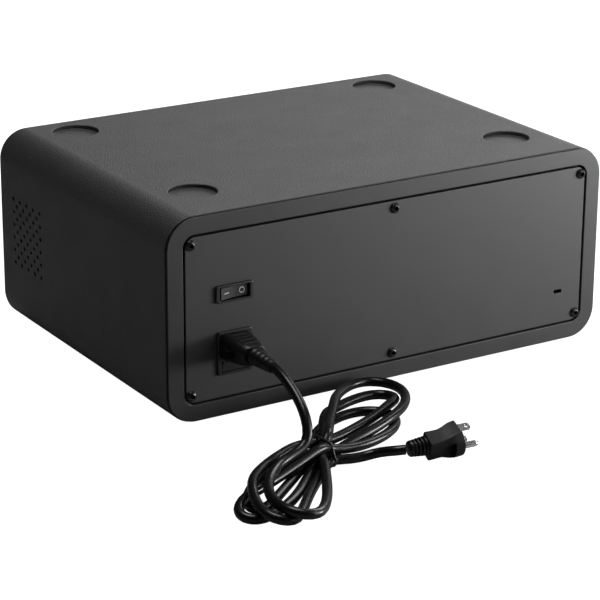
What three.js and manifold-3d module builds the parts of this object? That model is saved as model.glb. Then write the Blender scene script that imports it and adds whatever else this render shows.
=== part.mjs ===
// Bill validator in a rounded black housing: the note path, the stacker and the
// cassette are on the -X side, and the power entry, the supply and the fan are
// on the +X side. Millimetres. +X is to the right seen from the front, -Y is the
// front, +Y the rear and +Z up. The floor is z = 0, under the middle of the body.

import * as THREE from 'three';
import { mergeGeometries, mergeVertices } from 'three/addons/utils/BufferGeometryUtils.js';
import Module from 'manifold-3d';

const wasm = await Module();
wasm.setup();

// ---------- driving dimensions ----------
const width = 396;
const depth = 280;
const bodyHeight = 160;
const cornerRadius = 24;
const footHeight = 4;
const wall = 3;
const gap = 0.3;

const top = footHeight + bodyHeight;
const midZ = footHeight + bodyHeight / 2;
const rear = depth / 2;

const rimWidth = 14;
const rimDepth = 1.5;
const grooveWidth = 1.7;
const panelThickness = 2.4;
const panelWidth = width - 2 * (rimWidth + grooveWidth);
const panelHeight = bodyHeight - 2 * (rimWidth + grooveWidth);
const panelFace = rear - gap;
const panelBack = panelFace - panelThickness;
const screwX = 178;
const screwZ = 58.5;

const restX = 144.4;
const restY = [84.4, -107.9];
const recess = { radius: 18.5, depth: 3.4, floor: 1.4 };

const inletX = 141.5;
const switchZ = 101;
const inletZ = 54.5;
const connectorZ = 60;

const vent = { columns: 9, firstY: -115, pitchY: 5.94, pitchZ: 10.7, z: 86.4, radius: 1.75 };

// The note path runs along Y, midway between the two side plates.
const bayX = -90;
const bayHalf = 51;
const pathZ = 106;
const pathHalf = 1.2;
const noteHalf = 43;
const headY = [-131, -40];
const stackY = [-38, 126];
const shaftY = [-114, -54];
const rollerX = [bayX - 20, bayX + 20];
const driveRadius = 8;
const pinchRadius = 6;
const driveZ = pathZ - 0.15 - driveRadius;
const pinchZ = pathZ + 0.15 + pinchRadius;

const cassetteZ = [33.5, 86];
const mouthX = [bayX - 37, bayX + 37];
const mouthY = [-28, 114];
const pusherStroke = 27;
const pinionY = 60;
const pinionZ = 124.5;
const lockAt = { x: -57, z: 72 };

// ---------- plain shapes ----------
function box([x0, x1], [y0, y1], [z0, z1]) {
  const shape = new THREE.BoxGeometry(x1 - x0, y1 - y0, z1 - z0);
  return shape.translate((x0 + x1) / 2, (y0 + y1) / 2, (z0 + z1) / 2);
}

// A cylinder along one axis; `at` holds its other two coordinates in XYZ order.
function rod(axis, at, radius, [from, to], segments = 12) {
  return turn(axis, at, [[0, from], [radius, from], [radius, to], [0, to]], segments);
}

// A turned piece: its profile is a list of [radius, distance along the axis].
function turn(axis, [u, v], profile, segments = 12) {
  const points = profile.map(([radius, along]) => new THREE.Vector2(radius, along));
  const shape = new THREE.LatheGeometry(points, segments);
  if (axis === 'x') return shape.rotateZ(-Math.PI / 2).translate(0, u, v);
  if (axis === 'y') return shape.translate(u, 0, v);
  return shape.rotateX(Math.PI / 2).translate(u, v, 0);
}

function roundedRect(x, y, w, h, r) {
  const shape = new THREE.Shape();
  const right = x + w / 2 - r;
  const left = x - w / 2 + r;
  const upper = y + h / 2 - r;
  const lower = y - h / 2 + r;
  shape.absarc(right, lower, r, -Math.PI / 2, 0);
  shape.absarc(right, upper, r, 0, Math.PI / 2);
  shape.absarc(left, upper, r, Math.PI / 2, Math.PI);
  shape.absarc(left, lower, r, Math.PI, Math.PI * 1.5);
  shape.closePath();
  return shape;
}

function polygon(points) {
  return new THREE.Shape(points.map(([x, y]) => new THREE.Vector2(x, y)));
}

function ring(outer, inner) {
  outer.holes.push(inner);
  return outer;
}

function extrude(shape, from, to, curveSegments) {
  const options = { depth: to - from, bevelEnabled: false, curveSegments };
  return new THREE.ExtrudeGeometry(shape, options).translate(0, 0, from);
}

const alongZ = (shape, [from, to], curveSegments = 2) => extrude(shape, from, to, curveSegments);

// An outline in X and Z, extruded along Y.
function alongY(shape, [from, to], curveSegments = 2) {
  return extrude(shape, -to, -from, curveSegments).rotateX(Math.PI / 2);
}

// An outline in Y and Z, extruded along X.
function alongX(shape, [from, to], curveSegments = 2) {
  const swap = new THREE.Matrix4().set(0, 0, 1, 0, 1, 0, 0, 0, 0, 1, 0, 0, 0, 0, 0, 1);
  return extrude(shape, from, to, curveSegments).applyMatrix4(swap);
}

// A block along Y whose two end faces, given as [width, height], differ.
function taper([x, z], [from, to], fromSize, toSize) {
  const shape = new THREE.BoxGeometry(1, to - from, 1);
  const place = shape.attributes.position;
  for (let i = 0; i < place.count; i++) {
    const size = place.getY(i) < 0 ? fromSize : toSize;
    place.setX(i, place.getX(i) * size[0]);
    place.setZ(i, place.getZ(i) * size[1]);
  }
  return shape.translate(x, (from + to) / 2, z);
}

function tube(points, radius, steps, sides = 8) {
  const path = new THREE.CatmullRomCurve3(points.map((point) => new THREE.Vector3(...point)));
  const section = new THREE.Shape().absarc(0, 0, radius, 0, Math.PI * 2);
  const options = { steps, extrudePath: path, bevelEnabled: false, curveSegments: sides / 2 };
  return new THREE.ExtrudeGeometry(section, options);
}

// ---------- booleans ----------
function toSolid(geometry) {
  const bare = geometry.clone();
  bare.deleteAttribute('normal');
  bare.deleteAttribute('uv');
  const merged = mergeVertices(bare, 1e-4);
  const vertProperties = Float32Array.from(merged.attributes.position.array);
  const triVerts = Uint32Array.from(merged.index.array);
  return new wasm.Manifold(new wasm.Mesh({ numProp: 3, vertProperties, triVerts }));
}

function toGeometry(solid) {
  const mesh = solid.getMesh();
  const geometry = new THREE.BufferGeometry();
  geometry.setAttribute('position', new THREE.BufferAttribute(mesh.vertProperties, 3));
  geometry.setIndex(new THREE.BufferAttribute(mesh.triVerts, 1));
  return geometry;
}

function join(...pieces) {
  return toGeometry(pieces.map(toSolid).reduce((sum, piece) => sum.add(piece)));
}

function cut(base, ...tools) {
  return toGeometry(tools.map(toSolid).reduce((rest, tool) => rest.subtract(tool), toSolid(base)));
}

// Tools that don't touch each other cut as one.
const apart = (pieces) => mergeGeometries(pieces);

// ---------- the assembly ----------
const object = new THREE.Group();

function finish(color, roughness, metalness = 0) {
  return new THREE.MeshStandardMaterial({ color, roughness, metalness });
}

const housingPaint = finish(0x33353a, 0.6);
const framePlastic = finish(0x25272a, 0.5);
const panelPlastic = finish(0x1f2123, 0.65);
const blackPlastic = finish(0x111214, 0.4);
const cordRubber = finish(0x0c0d0e, 0.3);
const footRubber = finish(0x161616, 0.9);
const blackSteel = finish(0x1b1b1c, 0.35, 0.8);
const zincSteel = finish(0xb4b8ba, 0.4, 0.9);
const brightMetal = finish(0xd0d2d2, 0.25, 1);
const greyPlastic = finish(0x6c7176, 0.6);
const naturalPlastic = finish(0xd9d6c8, 0.5);
const boardGreen = finish(0x1d5136, 0.5);
const rollerRubber = finish(0x3b3b3d, 0.85);
const clearGreen = finish(0x49c98a, 0.2);
const smokedLens = finish(0x0a0f14, 0.08);

function add(name, geometry, material) {
  const shape = geometry.index ? geometry.toNonIndexed() : geometry;
  shape.computeVertexNormals();
  const mesh = new THREE.Mesh(shape, material);
  mesh.name = name;
  object.add(mesh);
}

// ---------- housing ----------
function housingSleeve() {
  const half = rear - rimDepth - gap;
  const outer = roundedRect(0, midZ, width, bodyHeight, cornerRadius);
  const inner = roundedRect(0, midZ, width - 2 * wall, bodyHeight - 2 * wall, cornerRadius - wall);
  const holes = [];
  const dishes = [];
  for (const y of restY) {
    for (const x of [-restX, restX]) {
      const underside = top - recess.depth - recess.floor;
      dishes.push(rod('z', [x, y], recess.radius + recess.floor, [underside, top - wall + 0.5], 20));
      holes.push(rod('z', [x, y], recess.radius, [top - recess.depth, top + 1], 20));
      holes.push(rod('z', [x, y], 4, [footHeight - 1, footHeight + wall + 1], 10));
    }
  }
  for (const side of [[-width / 2 - 1, -width / 2 + wall + 1], [width / 2 - wall - 1, width / 2 + 1]]) {
    for (let column = 0; column < vent.columns; column++) {
      const rows = column % 2 ? 5 : 6;
      for (let row = 0; row < rows; row++) {
        const y = vent.firstY + column * vent.pitchY;
        const z = vent.z + (row - (rows - 1) / 2) * vent.pitchZ;
        holes.push(rod('x', [y, z], vent.radius, side, 5));
      }
    }
  }
  return cut(join(alongY(ring(outer, inner), [-half, half], 4), apart(dishes)), apart(holes));
}

// The end frame, drawn at the rear: a rim, a ledge behind the panel and a spigot
// that plugs into the sleeve.
function endFrame(screwed) {
  const opening = roundedRect(0, midZ, width - 2 * rimWidth, bodyHeight - 2 * rimWidth, 9.5);
  const rim = ring(roundedRect(0, midZ, width, bodyHeight, cornerRadius), opening);
  const spigot = (inset) => {
    const shrink = 2 * (wall + gap + inset);
    return roundedRect(0, midZ, width - shrink, bodyHeight - shrink, cornerRadius - wall - gap - inset);
  };
  const window = roundedRect(0, midZ, 340, 104, 6);
  const ledgeFront = panelBack - gap;
  const pieces = [
    alongY(rim, [rear - rimDepth, rear], 4),
    alongY(ring(spigot(0), opening), [ledgeFront - 1, rear - rimDepth + 0.4], 4),
    alongY(ring(spigot(0), window), [ledgeFront - 4, ledgeFront], 2),
    alongY(ring(spigot(0), spigot(3)), [ledgeFront - 8.5, ledgeFront - 3], 2),
  ];
  if (!screwed) return join(...pieces);
  const holes = screwPlaces().map(([x, z]) => rod('y', [x, z], 2.3, [rear - 20, rear], 8));
  return cut(join(...pieces), apart(holes));
}

function screwPlaces() {
  const places = [];
  for (const z of [midZ - screwZ, midZ + screwZ]) {
    for (const x of [-screwX, 0, screwX]) {
      places.push([x, z]);
    }
  }
  return places;
}

function rearPanel() {
  const plate = roundedRect(0, midZ, panelWidth, panelHeight, 8);
  plate.holes.push(roundedRect(inletX, switchZ, 28.8, 12.4, 1));
  plate.holes.push(roundedRect(inletX, inletZ, 27.6, 31.6, 0.5));
  plate.holes.push(roundedRect(-160, footHeight + 42.5, 7.5, 3, 0.9));
  for (const [x, z] of screwPlaces()) {
    plate.holes.push(roundedRect(x, z, 4.6, 4.6, 2.29));
  }
  return alongY(plate, [panelBack, panelFace], 1);
}

function panelScrew([x, z]) {
  const seat = panelFace + gap;
  const profile = [[0, seat - 10], [2, seat - 10], [2, seat], [3.8, seat], [3.8, seat + 0.9]];
  profile.push([2.4, seat + 2.2], [0, seat + 2.2]);
  return cut(turn('y', [x, z], profile, 10), rod('y', [x, z], 1.5, [seat + 0.8, seat + 3], 6));
}

function foot(x, y) {
  const profile = [[0, 0], [17, 0], [18, 1], [18, footHeight - gap], [3.7, footHeight - gap]];
  profile.push([3.7, 8.4], [0, 8.4]);
  return turn('z', [x, y], profile, 14);
}

add('housing_sleeve', housingSleeve(), housingPaint);
add('rear_frame', endFrame(true), framePlastic);
add('front_frame', endFrame(false).rotateZ(Math.PI), framePlastic);
add('rear_panel', rearPanel(), panelPlastic);
screwPlaces().forEach((place, i) => add(`rear_panel_screw_${i + 1}`, panelScrew(place), blackSteel));
for (const [i, [x, y]] of [[-1, 1], [1, 1], [-1, 0], [1, 0]].entries()) {
  add(`foot_${i + 1}`, foot(x * restX, restY[y]), footRubber);
}

// ---------- power entry ----------
const bezelFront = rear + 1.8;

function switchBezel() {
  const flange = roundedRect(inletX, switchZ, 32, 13.4, 2);
  const body = join(
    alongY(flange, [rear, bezelFront], 2),
    box([inletX - 14, inletX + 14], [118, rear + 0.5], [switchZ - 5.9, switchZ + 5.9]),
  );
  const pocket = box([inletX - 12.9, inletX + 12.9], [125, rear + 5], [switchZ - 5.3, switchZ + 5.3]);
  return cut(body, pocket);
}

// A shallow V that rocks about Z, with its -X half pressed in at rest.
function switchRocker() {
  const profile = [[-12.2, -3], [-4, -6], [4, -6], [12.2, -3], [12.2, 0.6], [0, -0.6], [-12.2, 0.6]];
  const rocker = alongZ(polygon(profile), [-4.8, 4.8]);
  const tilt = THREE.MathUtils.degToRad(7);
  return rocker.rotateZ(tilt).translate(inletX, rear, switchZ);
}

function contactPins(halfX, halfZ, from, to) {
  return [[-7, -1.5], [0, 2.5], [7, -1.5]].map(([dx, dz]) => box(
    [inletX + dx - halfX, inletX + dx + halfX],
    [from, to],
    [connectorZ + dz - halfZ, connectorZ + dz + halfZ],
  ));
}

function inletBody() {
  const shell = join(
    alongY(roundedRect(inletX, inletZ, 29.5, 34, 2.5), [rear, bezelFront], 2),
    box([inletX - 13.4, inletX + 13.4], [112, rear + 0.5], [inletZ - 15.4, inletZ + 15.4]),
  );
  const recess = box([inletX - 12.3, inletX + 12.3], [122, rear + 5], [connectorZ - 8.4, connectorZ + 8.4]);
  const drawer = box([inletX - 11.4, inletX + 11.4], [118, rear + 5], [39.6, 48.4]);
  return join(cut(shell, recess, drawer), ...contactPins(1, 2, 121, 137));
}

function fuseDrawer() {
  const slide = box([inletX - 11, inletX + 11], [119, bezelFront - 0.4], [40, 48]);
  const lip = box([inletX - 11, inletX + 11], [bezelFront - 1, bezelFront + 0.8], [45.6, 48]);
  const fuse = box([inletX - 9, inletX + 9], [122, 136], [42.5, 49]);
  return cut(join(slide, lip), fuse);
}

function cordConnector() {
  const nose = box([inletX - 11.9, inletX + 11.9], [123, rear + 3], [connectorZ - 8.1, connectorZ + 8.1]);
  const seat = bezelFront + gap;
  const head = taper([inletX, connectorZ], [seat, 170], [27, 19.6], [19, 15]);
  const boot = [[0, 168], [7, 168]];
  for (let rib = 0; rib < 4; rib++) {
    const along = 172 + rib * 6;
    boot.push([6.9 - rib * 0.55, along], [5.6 - rib * 0.35, along + 1.5], [5.6 - rib * 0.35, along + 4]);
  }
  boot.push([4.8, 196.9], [0, 196.9]);
  return cut(join(nose, head, turn('y', [inletX, connectorZ], boot, 12)), ...contactPins(1.5, 2.5, 120, 138));
}

add('switch_bezel', switchBezel(), blackPlastic);
add('switch_rocker', switchRocker(), blackPlastic);
add('inlet_body', inletBody(), blackPlastic);
add('fuse_drawer', fuseDrawer(), blackPlastic);
add('cord_connector', cordConnector(), cordRubber);

// ---------- front ----------
const front = -rear;
const frontFace = -panelFace;
const frontBack = -panelBack;
const bezel = { x: bayX, z: 108, w: 120, h: 30 };
const display = { x: 90, z: 118, w: 100, h: 28 };
const keyX = [60, 90, 120];
const keyZ = 88;
const bayDoor = { x: bayX, z: 59.75, w: 103.4, h: 53.9 };

function frontPanel() {
  const plate = roundedRect(0, midZ, panelWidth, panelHeight, 8);
  plate.holes.push(roundedRect(bezel.x, bezel.z, bezel.w - 8, bezel.h - 8, 3));
  plate.holes.push(roundedRect(bayDoor.x, bayDoor.z, bayDoor.w, bayDoor.h, 1.5));
  plate.holes.push(roundedRect(display.x, display.z, display.w, display.h, 3));
  for (const x of keyX) {
    plate.holes.push(roundedRect(x, keyZ, 17, 10, 2.5));
  }
  const posts = [];
  for (const x of [34, 146]) {
    for (const z of [78, 131]) {
      posts.push(rod('y', [x, z], 2.5, [frontBack - 1, -131.8], 8));
    }
  }
  return join(alongY(plate, [frontFace, frontBack]), apart(posts));
}

function billBezel() {
  const slot = [2 * noteHalf + 2, 4.6];
  const flange = alongY(roundedRect(bezel.x, bezel.z, bezel.w, bezel.h, 6), [front - 2.5, front]);
  const body = box([bezel.x - 55, bezel.x + 55], [front - 0.5, headY[0] - gap], [98, 118]);
  const mouth = taper([bezel.x, pathZ + 1], [front - 3, front + 4], [102, 16], [slot[0] + 2, 6]);
  const throat = box([bezel.x - slot[0] / 2, bezel.x + slot[0] / 2], [front, -120], [pathZ - 2.3, pathZ + 2.3]);
  const groove = alongY(bezelRing(0.2), [front - 3, front - 1.2]);
  return cut(join(flange, body), mouth, throat, groove);
}

function bezelRing(slack) {
  return ring(
    roundedRect(bezel.x, bezel.z, 113 + 2 * slack, 24 + 2 * slack, 4 + slack),
    roundedRect(bezel.x, bezel.z, 108 - 2 * slack, 19 - 2 * slack, 3 - slack),
  );
}

function keyCap(x) {
  const cap = alongY(roundedRect(x, keyZ, 16.2, 9.2, 2.2), [frontFace - 2.2, frontBack + 0.5]);
  const flange = box([x - 10, x + 10], [frontBack + gap, frontBack + 1.4], [keyZ - 6.5, keyZ + 6.5]);
  return join(cap, flange);
}

function frontBoard() {
  const board = box([30, 150], [-131.5, -129.9], [74, 135]);
  const screen = box([44, 136], [-137, -131], [107, 129]);
  const switches = keyX.map((x) => box([x - 3, x + 3], [-134.2, -131], [keyZ - 3, keyZ + 3]));
  return join(board, screen, ...switches);
}

function cassetteFront() {
  const face = roundedRect(bayX, bayDoor.z, bayDoor.w - 1.8, bayDoor.h - 1.8, 2.4);
  face.holes.push(roundedRect(lockAt.x, lockAt.z, 14, 14, 6.99));
  face.holes.push(roundedRect(bayX - 14, 58, 46, 22, 4));
  const cup = cut(
    alongY(roundedRect(bayX - 14, 58, 49, 25, 5), [frontFace + 0.5, -123]),
    alongY(roundedRect(bayX - 14, 58, 46, 22, 4), [frontFace - 1, -124.6]),
  );
  return join(alongY(face, [frontFace, frontBack]), cup);
}

function lockCore() {
  const { x, z } = lockAt;
  const profile = [[0, frontFace - 2], [7.6, frontFace - 2], [7.6, frontFace - gap], [6.6, frontFace - gap]];
  profile.push([6.6, -136.6], [3, -136.6], [3, -134.1], [0, -134.1]);
  const cam = box([x - 17, x + 3], [-136.8, -134.6], [z - 3.5, z + 3.5]);
  const keyway = box([x - 0.8, x + 0.8], [frontFace - 3, frontFace + 1], [z - 4, z + 4]);
  return cut(join(turn('y', [x, z], profile, 12), cam), keyway);
}

add('front_panel', frontPanel(), panelPlastic);
add('bill_bezel', billBezel(), greyPlastic);
add('bezel_light_guide', alongY(bezelRing(0), [front - 2.9, front - 1.5]), clearGreen);
add('display_window', alongY(
  roundedRect(display.x, display.z, display.w - 0.6, display.h - 0.6, 2.8),
  [frontFace, frontBack - 0.1],
), smokedLens);
add('front_board', frontBoard(), boardGreen);
keyX.forEach((x, i) => add(`key_${i + 1}`, keyCap(x), greyPlastic));

// ---------- chassis and electronics ----------
const tray = { x: [-172, 172], y: [-124, 124], z: [7.3, 8.8] };
const board = { x: [-28, 42], y: [-100, 110], z: [18, 19.6] };
const supply = { x: [52, 160], y: [-15, 95], z: [12, 50] };

function chassisTray() {
  const plate = box(tray.x, tray.y, tray.z);
  const flanges = tray.x.map((x) => box([x - 0.8, x + 0.8], tray.y, [tray.z[0], 20]));
  const posts = [];
  for (const x of [board.x[0] + 5, board.x[1] - 5]) {
    for (const y of [board.y[0] + 5, board.y[1] - 5]) {
      posts.push(rod('z', [x, y], 3, [tray.z[1] - 0.5, board.z[0] - gap], 8));
    }
  }
  for (const x of [supply.x[0] + 8, supply.x[1] - 8]) {
    for (const y of [supply.y[0] + 8, supply.y[1] - 8]) {
      posts.push(rod('z', [x, y], 4, [tray.z[1] - 0.5, supply.z[0] - gap], 8));
    }
  }
  const studs = restY.flatMap((y) => [-restX, restX].map((x) => rod('z', [x, y], 4.6, [6, 10], 10)));
  return cut(join(plate, ...flanges, ...posts), apart(studs));
}

// The channel that the cassette slides in, on two legs.
function cassetteCradle() {
  const inner = bayHalf + gap;
  const outer = inner + 2;
  const channel = cut(
    box([bayX - outer, bayX + outer], tray.y, [31.2, cassetteZ[1]]),
    box([bayX - inner, bayX + inner], [-130, 130], [cassetteZ[0] - gap, cassetteZ[1] + 5]),
  );
  const legs = [-44, 44].map((dx) => box([bayX + dx - 2, bayX + dx + 2], tray.y, [tray.z[1] + gap, 32]));
  const lightening = [-80, 0, 80].map((y) => box([bayX - 38, bayX + 38], [y - 28, y + 28], [30, 40]));
  return cut(join(channel, ...legs), ...lightening);
}

function mainBoard() {
  const chips = [
    box([-20, 0], [-80, -60], [19, 22.5]),
    box([8, 36], [-84, -56], [19, 30]),
    box([-24, -14], [0, 60], [19, 29]),
    box([10, 34], [20, 34], [19, 27]),
    box([4, 38], [92, 106], [19, 33]),
    rod('z', [26, 60], 7, [19, 38], 10),
    rod('z', [8, 60], 7, [19, 38], 10),
  ];
  return join(box(board.x, board.y, board.z), ...chips);
}

function powerSupply() {
  const body = box(supply.x, supply.y, supply.z);
  const skin = 1.2;
  const hollow = box(
    [supply.x[0] + skin, supply.x[1] - skin],
    [supply.y[0] + skin, supply.y[1] - skin],
    [supply.z[0] + skin, supply.z[1] - skin],
  );
  const terminals = box([60, 120], [94.2, 106], [16, 30]);
  const slots = [];
  for (let i = 0; i < 6; i++) {
    const y = 10 + i * 12;
    slots.push(box([70, 142], [y - 2.5, y + 2.5], [supply.z[1] - 2, supply.z[1] + 1]));
  }
  return cut(join(cut(body, hollow), terminals), apart(slots));
}

const fan = { y: vent.firstY + vent.pitchY * 4, z: vent.z, x: [179.7, 194.7], bore: 28 };

function fanFrame() {
  const block = alongX(roundedRect(fan.y, fan.z, 60, 60, 4), fan.x, 1);
  const bore = rod('x', [fan.y, fan.z], fan.bore, [fan.x[0] - 1, fan.x[1] + 1], 18);
  const screwHoles = [[-25, -25], [-25, 25], [25, -25], [25, 25]].map(
    ([dy, dz]) => rod('x', [fan.y + dy, fan.z + dz], 2.2, [fan.x[0] - 1, fan.x[1] + 1], 6),
  );
  const hub = rod('x', [fan.y, fan.z], 12, [fan.x[0], fan.x[0] + 2]);
  const struts = [0, 1, 2].map((i) => {
    const strut = box([fan.x[0], fan.x[0] + 2], [8, fan.bore + 1], [-1.5, 1.5]);
    return strut.rotateX(i * Math.PI * 2 / 3).translate(0, fan.y, fan.z);
  });
  return join(cut(block, bore, apart(screwHoles)), hub, ...struts);
}

function fanRotor() {
  const from = fan.x[0] + 2.5;
  const pieces = [rod('x', [0, 0], 12, [from, fan.x[1] - 1], 12)];
  for (let i = 0; i < 7; i++) {
    const blade = box([-0.6, 0.6], [11, 26.4], [-6, 6]);
    blade.rotateY(THREE.MathUtils.degToRad(52));
    blade.translate(from + 5.6, 0, 0).rotateX(i * Math.PI * 2 / 7);
    pieces.push(blade);
  }
  return join(...pieces).translate(0, fan.y, fan.z);
}

add('chassis_tray', chassisTray(), zincSteel);
add('cassette_cradle', cassetteCradle(), zincSteel);
add('main_board', mainBoard(), boardGreen);
add('power_supply', powerSupply(), zincSteel);
add('fan_frame', fanFrame(), blackPlastic);
add('fan_rotor', fanRotor(), blackPlastic);

// ---------- gears ----------
// Trapezoid teeth, slimmer than half the pitch, so a pair turns with backlash.
function gear(axisY, axisZ, teeth, toothAngle) {
  const step = Math.PI * 2 / teeth;
  const points = [];
  for (let i = 0; i < teeth; i++) {
    const angle = toothAngle + i * step;
    for (const [radius, lead] of [[-1.2, -0.27], [0.85, -0.12], [0.85, 0.12], [-1.2, 0.27]]) {
      const r = teeth / 2 + radius;
      const a = angle + lead * step;
      points.push([axisY + r * Math.cos(a), axisZ + r * Math.sin(a)]);
    }
  }
  return polygon(points);
}

// ---------- note transport ----------
const plateX = [bayX - bayHalf - gap - 2, bayX + bayHalf + gap];
const driveGearX = [-27, -22];
const pulleyX = [-34.4, -29.4];
const motorZ = driveZ + 21.3;

function sidePlate(x) {
  const outline = polygon([
    [headY[0], cassetteZ[1] + gap], [stackY[1], cassetteZ[1] + gap],
    [stackY[1], 118], [70, 140], [-30, 140], [headY[0], 124],
  ]);
  for (const y of shaftY) {
    outline.holes.push(roundedRect(y, driveZ, 6.2, 6.2, 3.09));
    outline.holes.push(roundedRect(y, pinchZ, 5.2, 5.2, 2.59));
  }
  return alongX(outline, [x, x + 2], 1);
}

function shaftCut(z, [z0, z1], clear) {
  const cuts = shaftY.map((y) => box([bayX - 60, bayX + 60], [y - 3.5, y + 3.5], z));
  for (const y of shaftY) {
    for (const x of rollerX) {
      cuts.push(box([x - 6.5, x + 6.5], [y - clear, y + clear], [z0, z1]));
    }
  }
  return cuts;
}

function lowerGuide() {
  const block = box([bayX - bayHalf, bayX + bayHalf], headY, [89, pathZ - pathHalf]);
  return cut(block, ...shaftCut([85, driveZ + 3.5], [85, 110], driveRadius + 1.5));
}

function upperGuide() {
  const block = box([bayX - bayHalf, bayX + bayHalf], headY, [pathZ + pathHalf, 121]);
  const sensorSlot = box([bayX - noteHalf, bayX + noteHalf], [-92, -76], [100, 130]);
  return cut(block, sensorSlot, ...shaftCut([pinchZ - 3, 125], [100, 125], pinchRadius + 1.5));
}

function imageSensor() {
  const reach = noteHalf - gap;
  const bar = box([bayX - reach, bayX + reach], [-91.7, -76.3], [pathZ + pathHalf + gap, 119]);
  const plug = box([bayX + 10, bayX + 30], [-88, -80], [118, 123]);
  return join(bar, plug);
}

function rollerShaft(y, z, [x0, x1], shaftRadius, rollerRadius) {
  const profile = [[0, x0], [shaftRadius, x0]];
  for (const x of rollerX) {
    profile.push([shaftRadius, x - 5], [rollerRadius, x - 5], [rollerRadius, x + 5], [shaftRadius, x + 5]);
  }
  profile.push([shaftRadius, x1], [0, x1]);
  return turn('x', [y, z], profile, 12);
}

function driveShaft(y, end) {
  const shaft = rollerShaft(y, driveZ, [bayX - bayHalf - 5, end], 2.5, driveRadius);
  return join(shaft, rod('x', [y, driveZ], 7, pulleyX, 12));
}

function driveBelt() {
  const loop = (radius) => {
    const shape = new THREE.Shape();
    shape.absarc(shaftY[1], driveZ, radius, -Math.PI / 2, Math.PI / 2);
    shape.absarc(shaftY[0], driveZ, radius, Math.PI / 2, Math.PI * 1.5);
    shape.closePath();
    return shape;
  };
  return alongX(ring(loop(8.5), loop(7.3)), [pulleyX[0] + 0.5, pulleyX[1] - 0.5], 4);
}

function transportMotor() {
  const [y, z] = [shaftY[1], motorZ];
  const can = rod('x', [y, z], 14, [-20, 20], 16);
  const plate = box([-21, -19], [y - 22, y + 22], [z - 6, z + 15]);
  const posts = [-18, 18].map((dy) => rod('x', [y + dy, z + 9], 2.5, [plateX[1] + 2 + gap, -20], 8));
  return cut(join(can, plate, ...posts), rod('x', [y, z], 2, [-30, -12], 10));
}

function motorPinion() {
  const teeth = alongX(gear(shaftY[1], motorZ, 12, -Math.PI / 2 + Math.PI / 12), [-27, -22]);
  return join(teeth, rod('x', [shaftY[1], motorZ], 1.5, [-28, -13], 10));
}

add('validator_side_left', sidePlate(plateX[0]), zincSteel);
add('validator_side_right', sidePlate(plateX[1]), zincSteel);
add('lower_guide', lowerGuide(), greyPlastic);
add('upper_guide', upperGuide(), greyPlastic);
add('image_sensor', imageSensor(), blackPlastic);
add('drive_shaft_front', driveShaft(shaftY[0], pulleyX[1] + 1), rollerRubber);
const driveGear = alongX(gear(shaftY[1], driveZ, 30, Math.PI / 2), driveGearX);
add('drive_shaft_rear', join(driveShaft(shaftY[1], driveGearX[1] + 1), driveGear), rollerRubber);
const pinchReach = [bayX - bayHalf - 5, bayX + bayHalf + 3];
add('pinch_shaft_front', rollerShaft(shaftY[0], pinchZ, pinchReach, 2, pinchRadius), rollerRubber);
add('pinch_shaft_rear', rollerShaft(shaftY[1], pinchZ, pinchReach, 2, pinchRadius), rollerRubber);
add('drive_belt', driveBelt(), rollerRubber);
add('transport_motor', transportMotor(), zincSteel);
add('motor_pinion', motorPinion(), naturalPlastic);

// ---------- stacker ----------
const pusherZ = [107.5, 109.5];

function stackerFrame() {
  const inner = bayHalf;
  const block = box([bayX - inner, bayX + inner], stackY, [98, 114]);
  const window = box([mouthX[0] + 2, mouthX[1] - 2], mouthY, [90, 120]);
  const noteSlot = box([bayX - noteHalf, bayX + noteHalf], [stackY[0] - 5, 119], [pathZ - 1.4, pathZ + 1.4]);
  const posts = [-1, 1].map((side) => {
    const x = [bayX + side * 44 - 7, bayX + side * 44 + 7];
    return box(x, [48, 62], [113, 141]);
  });
  const bridge = box([bayX - 50, bayX + 50], [48, 62], [136.8, 141]);
  return join(cut(block, window, noteSlot), ...posts, bridge);
}

function pusherPlate() {
  const plate = box([bayX - 32, bayX + 32], [mouthY[0] + 4, mouthY[1] - 4], pusherZ);
  const pitchLine = pinionY + 6.3;
  const points = [[pitchLine + 6, pusherZ[1] - 1]];
  points.push([pitchLine + 6, pinionZ + pusherStroke + 6], [pitchLine + 1.2, pinionZ + pusherStroke + 6]);
  for (let tooth = 9; tooth >= -3; tooth--) {
    const z = pinionZ + (tooth + 0.5) * Math.PI;
    points.push([pitchLine + 1.2, z + 0.75], [pitchLine - 0.8, z + 0.35]);
    points.push([pitchLine - 0.8, z - 0.35], [pitchLine + 1.2, z - 0.75]);
  }
  points.push([pitchLine + 1.2, pusherZ[1] - 1]);
  return join(plate, alongX(polygon(points.reverse()), [bayX - 3, bayX + 3]));
}

function stackerPinion() {
  const teeth = alongX(gear(pinionY, pinionZ, 12, 0), [bayX - 3.5, bayX + 3.5]);
  return join(teeth, rod('x', [pinionY, pinionZ], 1.5, [bayX - 5, bayX + 13], 10));
}

function stackerMotor() {
  const can = rod('x', [pinionY, pinionZ], 12, [bayX + 7, bayX + 34], 14);
  return cut(can, rod('x', [pinionY, pinionZ], 2, [bayX, bayX + 15], 10));
}

add('stacker_frame', stackerFrame(), greyPlastic);
add('pusher_plate', pusherPlate(), naturalPlastic);
add('stacker_pinion', stackerPinion(), brightMetal);
add('stacker_motor', stackerMotor(), zincSteel);

// ---------- cassette ----------
const lidZ = 83;
const boxFront = -133.5;
const followerZ = [77.5, 79.5];

function cassetteBox() {
  const outer = box([bayX - bayHalf, bayX + bayHalf], [boxFront, 124], [cassetteZ[0], lidZ - gap]);
  const inside = [bayX - bayHalf + 2, bayX + bayHalf - 2];
  const hollow = [
    box(inside, [boxFront + 2, stackY[0]], [cassetteZ[0] + 2, 90]),
    box(inside, [stackY[0] + 2, 122], [cassetteZ[0] + 2, 90]),
  ];
  const cupHole = box([bayX - 14 - 26, bayX - 14 + 26], [boxFront - 1, boxFront + 3], [44, 72]);
  return cut(outer, ...hollow, cupHole);
}

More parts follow.
